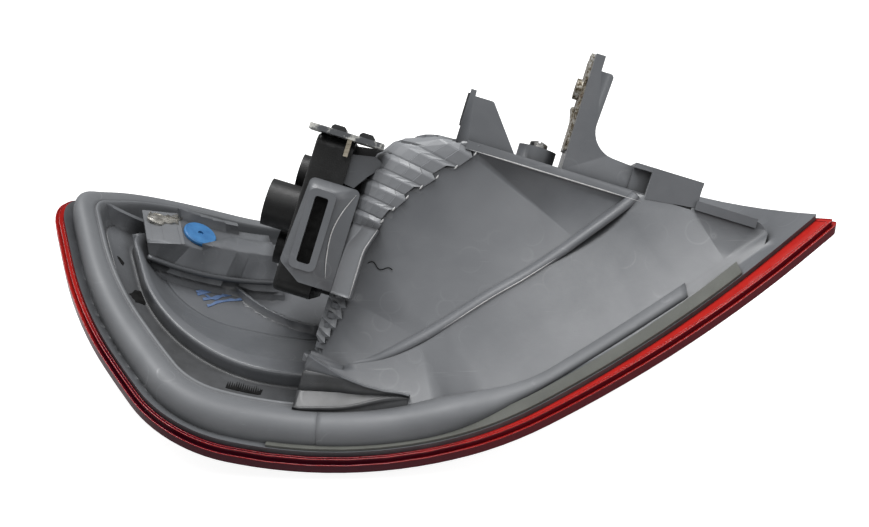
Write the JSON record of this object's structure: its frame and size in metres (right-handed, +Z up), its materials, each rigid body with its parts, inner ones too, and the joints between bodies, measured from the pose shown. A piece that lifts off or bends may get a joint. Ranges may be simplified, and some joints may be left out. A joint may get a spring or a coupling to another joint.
{
  "type": "tail light cluster",
  "caption": "Wrap-round vehicle tail lamp: curved red lens, grey moulded housing with terraced tray and lamp chamber, black bulb carrier, pin and bracket fixings.",
  "frame": {"origin": "seat of the locating pin: centre of the boss's top face, where the pin's free end starts", "axes": "lamp lying on its lens as pictured: +X along the lamp to the pointed end, +Y away from the chamber's side wall, +Z up from the lens to the back"},
  "size_m": [0.4117, 0.2456, 0.185],
  "materials": {
    "lens_red": "clear red acrylic, polished",
    "housing_grey": "semi-gloss moulded grey, scratched and water-spotted",
    "strip_olive": "flat olive-grey sealing strip",
    "reflex_red": "prismatic red acrylic",
    "reflector_bright": "metallised",
    "vent_blue": "blue membrane disc",
    "clip_bright": "bent bright spring steel",
    "carrier_black": "grained black moulding",
    "gasket_rubber": "soft black rubber",
    "contact_brass": "dull brass",
    "plate_grey": "pale worn strip",
    "clips_black": "black clips",
    "pin_steel": "plain steel",
    "nut_rusty": "rusted plated steel",
    "pad_dark": "thin dark foam",
    "cap_metal": "nickel-plated cap",
    "bulb_glass": "clear glass",
    "filament_metal": "bare wire"
  },
  "bodies": {
    "root": {"lens": "lens_red", "housing": "housing_grey", "reflex_insert": "reflex_red", "sealing_strip": "strip_olive", "reflector": "reflector_bright", "vent_plug": "vent_blue", "arm_clip": "clip_bright", "bulb_carrier": "carrier_black", "carrier_gasket": "gasket_rubber", "plug_pins": "contact_brass", "base_contacts": "contact_brass", "contact_plate": "plate_grey", "contact_clips": "clips_black", "contact_blade": "contact_brass", "locating_pin": "pin_steel", "bracket_nut": "nut_rusty", "fin_pad": "pad_dark", "stop_bulb_cap": "cap_metal", "stop_bulb_glass": "bulb_glass", "stop_bulb_filament": "filament_metal", "turn_bulb_cap": "cap_metal", "turn_bulb_glass": "bulb_glass", "turn_bulb_filament": "filament_metal", "tail_bulb_cap": "cap_metal", "tail_bulb_glass": "bulb_glass", "tail_bulb_filament": "filament_metal", "ground_lead": "contact_brass", "stop_lead": "contact_brass", "tail_lead": "contact_brass"}
  },
  "joints": []
}
